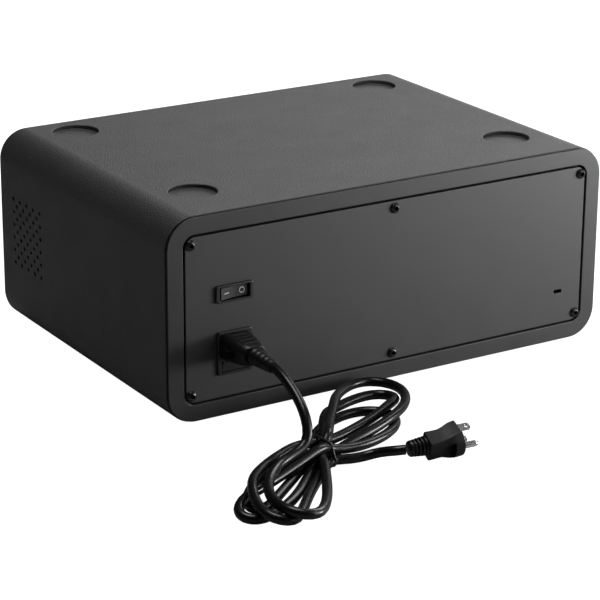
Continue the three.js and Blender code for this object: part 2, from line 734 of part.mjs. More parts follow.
function cassetteLid() {
  const plate = box([bayX - bayHalf, bayX + bayHalf], [boxFront, 124], [lidZ, cassetteZ[1]]);
  return cut(plate, box(mouthX, mouthY, [80, 90]));
}

// A compression spring with closed ends, between the floor and the follower.
class Helix extends THREE.Curve {
  constructor(radius, from, to, turns) {
    super();
    Object.assign(this, { radius, from, to, turns });
  }

  getPoint(t, target = new THREE.Vector3()) {
    const angle = t * this.turns * Math.PI * 2;
    const x = bayX + this.radius * Math.cos(angle);
    const y = 43 + this.radius * Math.sin(angle);
    return target.set(x, y, this.from + t * (this.to - this.from));
  }
}

function followerSpring() {
  const wire = 1.3;
  const path = new Helix(22, cassetteZ[0] + 2 + gap + wire, followerZ[0] - gap - wire, 5);
  const section = new THREE.Shape().absarc(0, 0, wire, 0, Math.PI * 2);
  const options = { steps: 50, extrudePath: path, bevelEnabled: false, curveSegments: 3 };
  return new THREE.ExtrudeGeometry(section, options);
}

add('cassette_box', cassetteBox(), blackPlastic);
add('cassette_front', cassetteFront(), greyPlastic);
add('cassette_lid', cassetteLid(), blackPlastic);
add('follower_plate', box([bayX - 48, bayX + 48], [-34, 120], followerZ), zincSteel);
add('follower_spring', followerSpring(), brightMetal);
add('lock_core', lockCore(), brightMetal);

// ---------- mains lead ----------
const cordRadius = 3.75;
const leadRoute = [
  [141.5, 197.2, 60], [141.5, 201, 60], [141.8, 212, 57], [142.2, 224, 52], [143, 235, 46.5],
  [144.4, 244, 40], [146, 250.5, 33], [148.5, 254.5, 26], [153, 256.5, 21],
];
const tailRoute = [
  [107.3, 257, 3.9], [104, 257, 3.9], [98, 257.6, 4.5], [92.8, 260.6, 6.2],
  [89.4, 266.4, 8.6], [86.6, 271.4, 10], [82.3, 274.6, 10.7], [77.3, 275.45, 10.7],
];
// The plug lies rolled a little, with its ground pin to the rear.
const plugAt = { x: 77, y: 275.5, z: 10.7, roll: 22, turn: 172 };
const tieX = 127;

// The outer shape of the lead's bundled loops, nipped in where the tie holds it.
function cordHank() {
  const outline = new THREE.Shape();
  outline.moveTo(127, 257);
  outline.splineThru([
    [108, 252], [94, 245], [78, 240], [63, 234], [50, 227], [38, 217], [26, 206],
    [14, 190], [10, 172], [14, 152], [26, 144], [46, 146], [66, 155], [84, 171],
    [104, 188], [127, 226], [150, 233], [172, 244], [196, 253], [220, 272],
    [236, 292], [238, 307], [228, 326], [209, 341], [190, 342], [172, 330],
    [152, 300], [138, 274], [127, 257],
  ].map(([x, y]) => new THREE.Vector2(x, y)));
  const hank = alongZ(outline, [0, 16.5], 1);
  const tail = rod('x', [257, cordRadius + 0.1], cordRadius, [107.7, 125], 8);
  const band = cut(
    box([tieX - 3.2, tieX + 3.2], [210, 275], [-1, 20]),
    box([tieX - 4, tieX + 4], [229, 254.5], [1.7, 15]),
  );
  return cut(join(hank, tail), band);
}

function cordTie() {
  return cut(
    box([tieX - 2.8, tieX + 2.8], [227.5, 256], [0, 16.4]),
    box([tieX - 4, tieX + 4], [228.7, 254.8], [1.3, 15.3]),
  );
}

// A moulded plug, drawn along X with its ground pin on -Y and turned to its place.
function plug() {
  const relief = turn('x', [0, 0], [[0, 0], [5.2, 0], [6.2, 4], [5.6, 15], [0, 15]]);
  const body = turn('x', [0, 0], [[0, 14], [7.6, 14], [12, 41], [0, 41]], 8).scale(1, 1, 0.86);
  const blades = [-6.35, 6.35].map((z) => box([40, 57], [1.3, 7.7], [z - 0.75, z + 0.75]));
  const ground = rod('x', [-7.4, 0], 2.4, [38, 60], 10);
  const shape = join(relief, body, ...blades, ground);
  shape.rotateX(THREE.MathUtils.degToRad(plugAt.roll));
  return shape.rotateZ(THREE.MathUtils.degToRad(plugAt.turn)).translate(plugAt.x, plugAt.y, plugAt.z);
}

add('cord_lead', tube(leadRoute, cordRadius, 9), cordRubber);
add('cord_hank', cordHank(), cordRubber);
add('cord_tail', tube(tailRoute, cordRadius, 6), cordRubber);
add('cord_tie', cordTie(), cordRubber);
add('plug_body', plug(), cordRubber);

export default object;
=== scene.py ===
"""Looks of a desk-top bill validator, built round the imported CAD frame.

Shapes are worked out in millimetres in the frame's own axes (+X right seen from the
front, +Y the rear, +Z up) and turned into metres when a mesh is made.
"""

import math

import bmesh
import bpy
import numpy as np
from mathutils import Matrix, Vector


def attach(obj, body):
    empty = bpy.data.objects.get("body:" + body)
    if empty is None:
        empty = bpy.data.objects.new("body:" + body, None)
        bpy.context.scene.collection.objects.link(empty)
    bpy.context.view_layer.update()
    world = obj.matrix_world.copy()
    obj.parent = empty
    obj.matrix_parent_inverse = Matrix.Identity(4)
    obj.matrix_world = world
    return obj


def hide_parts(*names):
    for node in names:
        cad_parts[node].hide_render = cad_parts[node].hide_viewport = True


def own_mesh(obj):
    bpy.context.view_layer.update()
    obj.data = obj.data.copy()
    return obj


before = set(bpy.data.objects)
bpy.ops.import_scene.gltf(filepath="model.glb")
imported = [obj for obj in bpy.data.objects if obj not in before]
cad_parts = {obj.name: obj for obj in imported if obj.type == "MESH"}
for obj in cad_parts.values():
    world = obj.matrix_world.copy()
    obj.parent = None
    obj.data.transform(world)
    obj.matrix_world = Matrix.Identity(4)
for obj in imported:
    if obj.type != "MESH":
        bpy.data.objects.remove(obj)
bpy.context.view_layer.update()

MM = 0.001
TURN = 2 * math.pi


# ---------- camera ----------
CAMERA_PLACE = Vector((982.6, 1577.9, 687.5))
CAMERA_RIGHT = Vector((-0.84928, 0.52790, 0.00623))
CAMERA_UP = Vector((-0.17207, -0.28795, 0.94206))
FOCAL_LENGTH = 144.22
SENSOR_WIDTH = 36


def make_camera():
    data = bpy.data.cameras.new("camera")
    data.lens = FOCAL_LENGTH
    data.sensor_width = SENSOR_WIDTH
    data.clip_start = 0.05
    data.clip_end = 60
    camera = bpy.data.objects.new("camera", data)
    back = CAMERA_RIGHT.cross(CAMERA_UP)
    turn = Matrix((CAMERA_RIGHT, CAMERA_UP, back)).transposed()
    camera.matrix_world = Matrix.Translation(CAMERA_PLACE * MM) @ turn.to_4x4()
    bpy.context.scene.collection.objects.link(camera)
    bpy.context.scene.camera = camera


make_camera()


# ---------- materials ----------
def new_node(tree, kind, **values):
    """A shader node; values go to its inputs by name, or to its own attributes."""
    node = tree.nodes.new("ShaderNode" + kind)
    for key, value in values.items():
        if key in node.inputs:
            node.inputs[key].default_value = value
        else:
            setattr(node, key, value)
    return node


def noise(tree, coords, scale, detail):
    node = new_node(tree, "TexNoise", Scale=scale, Detail=detail)
    tree.links.new(coords, node.inputs["Vector"])
    return node.outputs["Fac"]


def ranged(tree, value, low, high):
    """Spreads a noise's middle range over low to high."""
    node = new_node(tree, "MapRange")
    node.inputs["From Min"].default_value = 0.3
    node.inputs["From Max"].default_value = 0.7
    node.inputs["To Min"].default_value = low
    node.inputs["To Max"].default_value = high
    tree.links.new(value, node.inputs["Value"])
    return node.outputs["Result"]


MOTTLE_SCALE = 30.0


def finish(name, color, roughness, metallic=0.0, grain=0.6, bump=0.1, mottle=0.12, **extra):
    """A moulded, painted or metal finish.

    color is linear; grain is the size in millimetres of the surface's fine texture, bump
    its strength and mottle the share by which colour and roughness wander.
    """
    mat = bpy.data.materials.new(name)
    mat.use_nodes = True
    tree = mat.node_tree
    shader = tree.nodes["Principled BSDF"]
    shader.inputs["Metallic"].default_value = metallic
    for key, value in extra.items():
        shader.inputs[key.replace("_", " ")].default_value = value
    coords = new_node(tree, "TexCoord").outputs["Object"]
    fine = noise(tree, coords, 1 / (grain * MM), 3.0)
    broad = noise(tree, coords, MOTTLE_SCALE, 2.0)
    both = new_node(tree, "Math", operation="ADD")
    tree.links.new(fine, both.inputs[0])
    tree.links.new(broad, both.inputs[1])
    half = new_node(tree, "Math", operation="MULTIPLY")
    half.inputs[1].default_value = 0.5
    tree.links.new(both.outputs[0], half.inputs[0])
    shade = new_node(tree, "MixRGB")
    dark = [c * (1 - mottle) for c in color]
    light = [c * (1 + mottle) for c in color]
    shade.inputs["Color1"].default_value = (*dark, 1)
    shade.inputs["Color2"].default_value = (*light, 1)
    tree.links.new(ranged(tree, half.outputs[0], 0, 1), shade.inputs["Fac"])
    tree.links.new(shade.outputs["Color"], shader.inputs["Base Color"])
    rough = ranged(tree, half.outputs[0], roughness * (1 - mottle), min(1, roughness * (1 + mottle)))
    tree.links.new(rough, shader.inputs["Roughness"])
    relief = new_node(tree, "Bump", Strength=bump, Distance=grain * MM * 0.5)
    tree.links.new(fine, relief.inputs["Height"])
    tree.links.new(relief.outputs["Normal"], shader.inputs["Normal"])
    return mat


def grey(value):
    return (value, value, value)


FINISHES = {
    "housing_paint": finish("powder_coat", grey(0.030), 0.52, grain=1.1, bump=1.0, mottle=0.1),
    "frame_plastic": finish("rim_plastic", grey(0.024), 0.45, grain=0.5, bump=0.12, mottle=0.1),
    "panel_plastic": finish("panel_plastic", grey(0.030), 0.50, grain=0.5, bump=0.10, mottle=0.08),
    "black_plastic": finish("black_plastic", grey(0.014), 0.33, grain=0.4, bump=0.08),
    "cord_rubber": finish("cord_rubber", grey(0.004), 0.27, grain=0.7, bump=0.05, Specular_IOR_Level=0.26),
    "foot_rubber": finish("foot_rubber", grey(0.02), 0.8, grain=0.8, bump=0.3),
    "black_steel": finish("black_steel", grey(0.008), 0.3, grain=0.3, bump=0.08),
    "zinc_steel": finish("zinc_steel", (0.55, 0.57, 0.58), 0.38, 1.0, grain=3.0, bump=0.05, mottle=0.2),
    "bright_metal": finish("bright_metal", (0.72, 0.72, 0.70), 0.22, 1.0, grain=0.5, bump=0.05),
    "grey_plastic": finish("grey_plastic", (0.14, 0.15, 0.16), 0.5, grain=0.6, bump=0.15),
    "natural_plastic": finish("natural_plastic", (0.72, 0.69, 0.58), 0.45, grain=0.8, bump=0.08),
    "board_green": finish("board_green", (0.02, 0.11, 0.05), 0.4, grain=1.2, bump=0.1, mottle=0.3),
    "roller_rubber": finish("roller_rubber", grey(0.035), 0.75, grain=0.8, bump=0.3),
    "clear_green": finish(
        "clear_green", (0.10, 0.62, 0.34), 0.2, grain=0.8, bump=0.04, Transmission_Weight=0.5
    ),
    "smoked_lens": finish("smoked_lens", (0.004, 0.005, 0.007), 0.06, grain=1.0, bump=0.01),
}
MOULDED = finish("moulded_rubber", grey(0.005), 0.38, grain=0.5, bump=0.12, Specular_IOR_Level=0.27)
TIE_WIRE = finish("tie_wire", grey(0.006), 0.4, grain=0.4, bump=0.05)
MARK_PAINT = finish("mark_paint", grey(0.62), 0.5, grain=0.4, bump=0.1)


# ---------- shapes: a shape is (points, faces), in millimetres ----------
def outline(width, height, radius, steps=8):
    """A rounded rectangle about (0, 0), counter-clockwise, with steps + 1 points a corner."""
    points = []
    for corner, (sx, sy) in enumerate(((1, 1), (-1, 1), (-1, -1), (1, -1))):
        for i in range(steps + 1):
            angle = math.pi / 2 * (corner + i / steps)
            x = sx * (width / 2 - radius) + radius * math.cos(angle)
            y = sy * (height / 2 - radius) + radius * math.sin(angle)
            points.append((x, y))
    return points


def at_y(flat, y, x=0.0, z=0.0):
    """A flat outline stood up facing along Y."""
    return [(x + px, y, z + pz) for px, pz in flat]


def skin(rings, looped=False):
    """Quads between rings of equal length; the ends are closed, or joined if looped."""
    count = len(rings[0])
    points = [p for ring in rings for p in ring]
    faces = []
    pairs = len(rings) if looped else len(rings) - 1
    for i in range(pairs):
        a = i * count
        b = (i + 1) % len(rings) * count
        for k in range(count):
            n = (k + 1) % count
            faces.append((a + k, a + n, b + n, b + k))
    if not looped:
        faces.append(tuple(range(count)))
        faces.append(tuple(range(len(points) - count, len(points))))
    return points, faces


def merged(*shapes):
    points, faces = [], []
    for more_points, more_faces in shapes:
        start = len(points)
        points += more_points
        faces += [tuple(start + i for i in face) for face in more_faces]
    return points, faces


def placed(shape, matrix):
    points, faces = shape
    return [tuple(matrix @ Vector(p)) for p in points], faces


def slid(shape, x=0.0, y=0.0, z=0.0):
    return placed(shape, Matrix.Translation((x, y, z)))


def turned(shape, degrees, axis):
    return placed(shape, Matrix.Rotation(math.radians(degrees), 4, axis))


def mirrored_y(shape):
    return placed(shape, Matrix.Scale(-1, 4, (0, 1, 0)))


def circle(radius, steps=32):
    angles = [TURN * i / steps for i in range(steps)]
    return [(radius * math.cos(angle), radius * math.sin(angle)) for angle in angles]


def lathe(profile, steps=32):
    """A solid turned about Z from a list of (radius, height)."""
    return skin([[(x, y, h) for x, y in circle(r, steps)] for r, h in profile])


def hexagon(across, steps=48):
    """A hexagon sampled at the same angles as circle()."""
    points = []
    for i in range(steps):
        angle = TURN * i / steps
        off = (angle + math.pi / 6) % (math.pi / 3) - math.pi / 6
        r = across / 2 / math.cos(off)
        points.append((r * math.cos(angle), r * math.sin(angle)))
    return points


def arc(center, radius, start, stop, steps=5):
    """Points round a centre, angles in degrees."""
    points = []
    for i in range(steps + 1):
        angle = math.radians(start + (stop - start) * i / steps)
        points.append((center[0] + radius * math.cos(angle), center[1] + radius * math.sin(angle)))
    return points


def block(x, y, z, radius, steps=3):
    """A soft-edged block between (low, high) pairs; rings run along Y."""
    width, height = x[1] - x[0], z[1] - z[0]
    middle = ((x[0] + x[1]) / 2, (z[0] + z[1]) / 2)
    ends = [(px + radius, radius - py) for px, py in arc((0, 0), radius, 180, 90, steps)]
    stations = [(y[0] + along, inset) for along, inset in ends]
    stations += [(y[1] - along, inset) for along, inset in reversed(ends)]
    rings = []
    for along, inset in stations:
        flat = outline(width - 2 * inset, height - 2 * inset, radius, steps)
        rings.append(at_y(flat, along, *middle))
    return skin(rings)


def tube(points, radius, sides, looped=False):
    """A round tube along points, with frames carried along the path."""
    path = [Vector(p) for p in points]
    count = len(path)
    normal = None
    rings = []
    for i, p in enumerate(path):
        ahead = path[(i + 1) % count] if looped or i + 1 < count else p
        behind = path[i - 1] if looped or i > 0 else p
        tangent = (ahead - behind).normalized()
        if normal is None:
            normal = tangent.orthogonal().normalized()
        normal = (normal - tangent * normal.dot(tangent)).normalized()
        side = tangent.cross(normal)
        rings.append([tuple(p + normal * x + side * y) for x, y in circle(radius, sides)])
    return skin(rings, looped)


def to_mesh(name, shape):
    points, faces = shape
    mesh = bpy.data.meshes.new(name)
    mesh.from_pydata([tuple(c * MM for c in p) for p in points], [], faces)
    work = bmesh.new()
    work.from_mesh(mesh)
    bmesh.ops.recalc_face_normals(work, faces=work.faces)
    work.to_mesh(mesh)
    work.free()
    return mesh


BEVEL_FROM_ANGLE = 30


def dress(obj, slot, body, stands_for, material=None, bevel=0.0, sharp=32):
    """Shading, edge bevels, material, body and replaced nodes of a finished piece."""
    obj.modifiers.clear()
    obj.data.materials.clear()
    obj.data.materials.append(material or FINISHES[slot])
    obj.data.shade_smooth()
    obj.data.set_sharp_from_angle(angle=math.radians(sharp))
    if bevel:
        soften(obj, bevel)
    else:
        weight = obj.modifiers.new("normals", "WEIGHTED_NORMAL")
        weight.keep_sharp = True
    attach(obj, body)
    if stands_for:
        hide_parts(*stands_for)
    return obj


def soften(obj, width):
    """Bevels the sharp edges and weights the shading towards the large faces."""
    edge = obj.modifiers.new("edges", "BEVEL")
    edge.width = width * MM
    edge.segments = 2
    edge.limit_method = "ANGLE"
    edge.angle_limit = math.radians(BEVEL_FROM_ANGLE)
    weight = obj.modifiers.new("normals", "WEIGHTED_NORMAL")
    weight.weight = 80
    weight.keep_sharp = False


def piece(name, shape, slot, body="root", stands_for=(), **look):
    """A visible piece made from a shape, linked to the scene and dressed."""
    obj = bpy.data.objects.new(name, to_mesh(name, shape))
    bpy.context.scene.collection.objects.link(obj)
    return dress(obj, slot, body, stands_for, **look)


def carve(obj, shape, operation="DIFFERENCE"):
    """Cuts a shape out of obj, or adds it, and keeps the result as its mesh."""
    tool = bpy.data.objects.new("tool", to_mesh("tool", shape))
    bpy.context.scene.collection.objects.link(tool)
    step = obj.modifiers.new("carve", "BOOLEAN")
    step.operation = operation
    step.solver = "EXACT"
    step.object = tool
    graph = bpy.context.evaluated_depsgraph_get()
    result = bpy.data.meshes.new_from_object(obj.evaluated_get(graph))
    obj.modifiers.clear()
    obj.data = result
    bpy.data.objects.remove(tool)


def plate(name, rim, holes, y, slot, stands_for, center, edge=0.4):
    """A flat plate facing along Y, with rounded edges on its rim and its holes."""
    curve = bpy.data.curves.new(name, "CURVE")
    curve.dimensions = "2D"
    curve.fill_mode = "BOTH"
    curve.extrude = (y[1] - y[0]) / 2 * MM - edge * MM
    curve.bevel_depth = edge * MM
    curve.bevel_resolution = 2
    curve.offset = -edge * MM
    for flat in [rim, *holes]:
        spline = curve.splines.new("POLY")
        spline.points.add(len(flat) - 1)
        for point, (px, pz) in zip(spline.points, flat):
            point.co = (px * MM, pz * MM, 0, 1)
        spline.use_cyclic_u = True
    flat_obj = bpy.data.objects.new(name + "_outline", curve)
    bpy.context.scene.collection.objects.link(flat_obj)
    graph = bpy.context.evaluated_depsgraph_get()
    mesh = bpy.data.meshes.new_from_object(flat_obj.evaluated_get(graph))
    bpy.data.objects.remove(flat_obj)
    stand = Matrix.Translation(Vector((center[0], (y[0] + y[1]) / 2, center[1])) * MM)
    mesh.transform(stand @ Matrix.Rotation(math.pi / 2, 4, "X"))
    work = bmesh.new()
    work.from_mesh(mesh)
    bmesh.ops.remove_doubles(work, verts=work.verts, dist=1e-6)
    bmesh.ops.recalc_face_normals(work, faces=work.faces)
    work.to_mesh(mesh)
    work.free()
    mesh.name = name
    obj = bpy.data.objects.new(name, mesh)
    bpy.context.scene.collection.objects.link(obj)
    dress(obj, slot, "root", stands_for, sharp=12)


def shifted(flat, x, z):
    return [(px + x, pz + z) for px, pz in flat]


# ---------- mains lead ----------
# REAR is the housing's rear face, CORD the lead's diameter, TIE the wire tie's place, and
# the rows are the heights at which the strands pass through it.
REAR = 140
CORD = 7.5
TIE = Vector((127, 243, 0))
LOWER_ROW, UPPER_ROW = 5.0, 11.6
LOOP_POINTS = 20

# The free stretch from the connector's boot down onto the bundle, and the short tail
# from the tie to the plug.
LEAD = [
    (141.5, 197.2, 60), (141.5, 201, 60), (141.8, 212, 57), (142.2, 224, 52), (143, 235, 46.5),
    (144.4, 244, 40), (146, 250.5, 33), (148.5, 254.5, 26), (153, 256.5, 21),
]
TAIL = [
    (107.3, 257, 3.9), (104, 257, 3.9), (98, 257.6, 4.5), (92.8, 260.6, 6.2),
    (89.4, 266.4, 8.6), (86.6, 271.4, 10), (82.3, 274.6, 10.7), (77.3, 275.45, 10.7),
]

# Loops in the order in which the lead makes them: how far each reaches from the tie, the
# way it heads in degrees, its width, how strongly it narrows towards the tie, how far it
# leans sideways, the heights of its outgoing, far and returning stretch, and the slot
# (y, z) where it then passes through the tie.
LOOPS = [
    (123.4, 50, 52.5, 0.43, 9, (17, 12, 6), (241.5, UPPER_ROW)),
    (140, 219.5, 71, 0.6, -5.4, (12, 9, 11), (245.5, LOWER_ROW)),
    (107.6, 31.5, 27, 0.3, 11, (4, 4, 4), (230.5, LOWER_ROW)),
    (97.5, 211, 58, 0.3, 3.2, (4, 4, 4), (249, UPPER_ROW)),
    (126.6, 31.5, 38, 0.95, -3, (10, 4, 4), (238, LOWER_ROW)),
    (126.4, 214.3, 43, 0.42, 7.2, (9, 5, 9), (234, UPPER_ROW)),
    (127, 44, 48, 0.41, 14, (13, 11, 4), (253, LOWER_ROW)),
]


def loop_points(loop, start, stop):
    """A teardrop out from the tie and back; start and stop are its slots in the tie."""
    reach, heading, width, narrowing, lean, heights = loop[:6]
    along = Vector((math.cos(math.radians(heading)), math.sin(math.radians(heading))))
    across = Vector((along.y, -along.x))
    if along.x < 0:
        across = -across
    points = []
    for i in range(1, LOOP_POINTS):
        share = i / LOOP_POINTS
        out = (1 - math.cos(TURN * share)) / 2
        side = width / 2 * math.sin(TURN * share) * out**narrowing + lean * 4 * out * (1 - out)
        flat = along * reach * out + across * side
        near = max(0.0, 1 - 3 * share) ** 2
        back = max(0.0, 3 * share - 2) ** 2
        y = TIE.y + flat.y + (start[0] - TIE.y) * near + (stop[0] - TIE.y) * back
        z = float(np.interp(share, (0.2, 0.5, 0.8), heights))
        z = z + (start[1] - z) * near + (stop[1] - z) * back
        points.append((TIE.x + flat.x, y, z))
    return points


def resampled(points, step):
    """Points a fixed step apart along straight segments."""
    path = np.array(points, float)
    lengths = np.r_[0, np.cumsum(np.linalg.norm(np.diff(path, axis=0), axis=1))]
    count = int(round(lengths[-1] / step))
    places = np.linspace(0, lengths[-1], count + 1)
    return np.stack([np.interp(places, lengths, path[:, k]) for k in range(3)], axis=1)


def rounded_path(points, times=3):
    """Corner cutting that keeps both ends."""
    path = np.array(points, float)
    for _ in range(times):
        a, b = path[:-1], path[1:]
        cut = np.empty((2 * len(a), 3))
        cut[0::2] = a * 0.75 + b * 0.25
        cut[1::2] = a * 0.25 + b * 0.75
        path = np.vstack([path[:1], cut, path[-1:]])
    return path


def cord_route():
    """The lead's whole route before it settles, and the places held fast."""
    route = list(LEAD)
    slots = []
    start = (250, 20)
    for number, loop in enumerate(LOOPS):
        slot = loop[-1]
        points = loop_points(loop, start, slot)
        route += points[3:] if number == 0 else points
        slots.append((TIE.x, *slot))
        route.append(slots[-1])
        start = slot
    route += [(118, 256, 4.2)] + TAIL
    return route, slots


def evened(moves, times):
    """Spreads moves along the cord, as its stiffness does."""
    for _ in range(times):
        padded = np.vstack([moves[:1], moves[:1], moves, moves[-1:], moves[-1:]])
        moves = (padded[:-4] + 4 * padded[1:-3] + 6 * padded[2:-2] + 4 * padded[3:-1] + padded[4:]) / 16
    return moves


def settle(route, slots, rounds, step=3.0):
    """Lets the loops come to rest: strands push each other apart and stay above the floor
    and behind the housing, while the free ends and the tie hold."""
    aim = resampled(rounded_path(route, 4), step)
    aim = evened(aim, 2)
    count = len(aim)
    lead_end = int(np.argmin(np.linalg.norm(aim - np.array(LEAD[-2]), axis=1)))
    tail_start = int(np.argmin(np.linalg.norm(aim - np.array(TAIL[1]), axis=1)))
    hold = np.ones((count, 1))
    hold[:lead_end] = 0
    hold[tail_start:] = 0
    moved = np.zeros_like(aim)
    radius = CORD / 2
    rear_face = REAR + radius
    first, second = np.triu_indices(count, k=int(4 * CORD / step))
    free = (first >= lead_end - 6) & (second < tail_start + 6)
    first, second = first[free], second[free]
    ties = []
    for slot in slots:
        place = np.array(slot)
        nearest = int(np.argmin(np.linalg.norm(aim - place, axis=1)))
        ties.append((nearest, place - aim[nearest]))
    reach = 1.04 * CORD
    largest_move = 1.2
    fade = 0.985
    for _ in range(rounds):
        path = aim + moved
        gaps = path[first] - path[second]
        far = np.linalg.norm(gaps, axis=1)
        near = far < reach
        i, j = first[near], second[near]
        push = gaps[near] / np.maximum(far[near], 0.05)[:, None] * (reach - far[near])[:, None] * 0.5
        step_moves = np.zeros_like(path)
        np.add.at(step_moves, i, push)
        np.add.at(step_moves, j, -push)
        moved += np.clip(step_moves, -largest_move, largest_move)
        moved = evened(moved, 3) * fade
        moved *= hold
        for nearest, offset in ties:
            for k in (-1, 0, 1):
                moved[nearest + k] = offset
        floor = radius - aim[:, 2]
        moved[:, 2] = np.maximum(moved[:, 2], floor)
        wall = np.where((aim[:, 2] < 60) & (hold[:, 0] > 0), rear_face - aim[:, 1], -1e3)
        moved[:, 1] = np.maximum(moved[:, 1], wall)
    moved = evened(moved, 2) * hold
    path = opened(aim + moved, hold, step)
    path[:, 2] = np.maximum(path[:, 2], radius)
    return path


def opened(path, hold, step, tightest=17.0, rounds=1500):
    """Opens out the bends that are tighter than a radius, away from the held ends."""
    slack = step**2 / (2 * tightest)
    for _ in range(rounds):
        middle = (path[:-2] + path[2:]) / 2
        bend = np.linalg.norm(middle - path[1:-1], axis=1)
        share = np.clip(1 - slack / np.maximum(bend, 1e-6), 0, 1)[:, None] * hold[1:-1]
        path[1:-1] += 0.5 * share * (middle - path[1:-1])
    return path


def make_cord():
    """The settled route as one round curve, from every second point."""
    route, slots = cord_route()
    path = settle(route, slots, 400)
    keep = path[::2]
    if len(path) % 2 == 0:
        keep = np.vstack([keep, path[-1]])
    curve = bpy.data.curves.new("mains_cord", "CURVE")
    curve.dimensions = "3D"
    curve.bevel_depth = CORD / 2 * MM
    curve.bevel_resolution = 5
    curve.resolution_u = 3
    curve.use_fill_caps = True
    spline = curve.splines.new("NURBS")
    spline.order_u = 4
    spline.use_endpoint_u = True
    spline.points.add(len(keep) - 1)
    for point, place in zip(spline.points, keep):
        point.co = (*(place * MM), 1)
    obj = bpy.data.objects.new("mains_cord", curve)
    bpy.context.scene.collection.objects.link(obj)
    curve.materials.append(FINISHES["cord_rubber"])
    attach(obj, "root")
    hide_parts("cord_lead", "cord_hank", "cord_tail")
    return obj


cord = make_cord()


# ---------- housing ----------
WIDTH, HEIGHT, CORNER = 396, 160, 24
MID_Z = 84
WALL = 3
SLEEVE_END = 137.6
RIM_BACK = 138.9
PANEL = (137.3, 139.7)
FOOT_X = 144.4
FOOT_ROWS = (84.4, -107.9)
VENT_COLUMNS = 9
VENT_PITCH_Y, VENT_PITCH_Z = 5.94, 10.7
VENT_FIRST_Y, VENT_MIDDLE_Z = -115, 86.4
VENT_RADIUS = 1.75
CORNER_STEPS = 14


def hull(inset, radius=None):
    """The body's outline, drawn in by inset on every side."""
    size = (WIDTH - 2 * inset, HEIGHT - 2 * inset)
    return outline(*size, CORNER - inset if radius is None else radius, CORNER_STEPS)


def vent_drills():
    """Round drills through the sides, in rows of five and six by turns."""
    drills = []
    for column in range(VENT_COLUMNS):
        rows = 5 if column % 2 else 6
        for row in range(rows):
            y = VENT_FIRST_Y + VENT_PITCH_Y * column
            z = VENT_MIDDLE_Z + (row - (rows - 1) / 2) * VENT_PITCH_Z
            drill = turned(lathe([(VENT_RADIUS, -200), (VENT_RADIUS, 200)], 16), 90, "Y")
            drills.append(slid(drill, 0, y, z))
    return drills


def make_sleeve():
    """The rounded tube with its four recesses and its vents."""
    edge = 0.45
    sections = [
        (edge, -SLEEVE_END), (0, edge - SLEEVE_END), (0, SLEEVE_END - edge), (edge, SLEEVE_END),
        (WALL, SLEEVE_END), (WALL, -SLEEVE_END),
    ]
    shape = skin([at_y(hull(inset), y, z=MID_Z) for inset, y in sections], looped=True)
    sleeve = piece("sleeve", shape, "housing_paint", stands_for=["housing_sleeve"])
    recesses = [(x, y) for x in (-FOOT_X, FOOT_X) for y in FOOT_ROWS]
    under = lathe([(19.9, 159.2), (19.9, 162)], 64)
    carve(sleeve, merged(*[slid(under, x, y) for x, y in recesses]), "UNION")
    lip = arc((19.4, 163.1), 0.9, 180, 90, 5)
    foot_of_wall = arc((17.9, 161.2), 0.6, -90, 0, 4)
    cutter = lathe([*foot_of_wall, *lip, (19.4, 166)], 64)
    cuts = [slid(cutter, x, y) for x, y in recesses]
    carve(sleeve, merged(*cuts, *vent_drills()))
    dress(sleeve, "housing_paint", "root", [])


def end_frame_shape():
    """The rear end frame: a rounded rim, a ledge behind the panel and a spigot."""
    sections = [(hull(1.0), RIM_BACK)]
    for inset, y in arc((1.2, 139.65), 0.35, 180, 90, 4):
        sections.append((hull(inset), y))
    for inset, y in arc((13.4, 139.4), 0.6, 90, 0, 3):
        sections.append((hull(inset, 9.5 + 14 - inset), y))
    ledge = outline(362, 126, 8, CORNER_STEPS)
    opening = outline(340, 104, 6, CORNER_STEPS)
    sections += [
        (hull(14, 9.5), 134), (ledge, 134), (ledge, 137), (opening, 137), (opening, 133),
        (hull(6.3), 133), (hull(6.3), 128.5), (hull(3.3), 128.5), (hull(3.3), RIM_BACK),
    ]
    return skin([at_y(flat, y, z=MID_Z) for flat, y in sections], looped=True)


make_sleeve()
piece("rear_rim", end_frame_shape(), "frame_plastic", stands_for=["rear_frame"])
piece("front_rim", mirrored_y(end_frame_shape()), "frame_plastic", stands_for=["front_frame"])

# ---------- rear panel ----------
INLET_X = 141.5
SWITCH_Z, INLET_Z, SOCKET_Z = 101, 54.5, 60
SCREW_X, SCREW_Z = 178, 58.5
SCREWS = [(x, MID_Z + z) for z in (-SCREW_Z, SCREW_Z) for x in (-SCREW_X, 0, SCREW_X)]

plate(
    "rear_plate",
    outline(364.6, 128.6, 8, 10),
    [
        shifted(outline(28.8, 12.4, 1), INLET_X, SWITCH_Z - MID_Z),
        shifted(outline(27.6, 31.6, 0.6), INLET_X, INLET_Z - MID_Z),
        shifted(outline(7.5, 3, 0.9), -160, 46.5 - MID_Z),
        *[shifted(circle(2.3, 24), x, z - MID_Z) for x, z in SCREWS],
    ],
    PANEL,
    "panel_plastic",
    stands_for=["rear_panel"],
    center=(0, MID_Z),
)


def panel_screw():
    """A button head with a hexagon socket, pointing along Y with its seat at 0."""
    dome = arc((0, -2.4), 5.0, 34, 65, 7)
    rings = [circle(1.6, 48), circle(2, 48), circle(2, 48), circle(4.05, 48), circle(4.2, 48)]
    heights = [-10, -9.6, -0.3, -0.3, 0]
    for radius, height in dome:
        rings.append(circle(radius, 48))
        heights.append(height)
    rings += [circle(2, 48), hexagon(3.2), hexagon(3.2)]
    heights += [dome[-1][1] + 0.05, 1.9, -0.4]
    shape = skin([[(x, y, h) for x, y in ring] for ring, h in zip(rings, heights)])
    return turned(shape, -90, "X")


for number, (x, z) in enumerate(SCREWS, 1):
    node = f"rear_panel_screw_{number}"
    piece(f"screw_{number}", slid(panel_screw(), x, REAR, z), "black_steel", stands_for=[node], sharp=40)

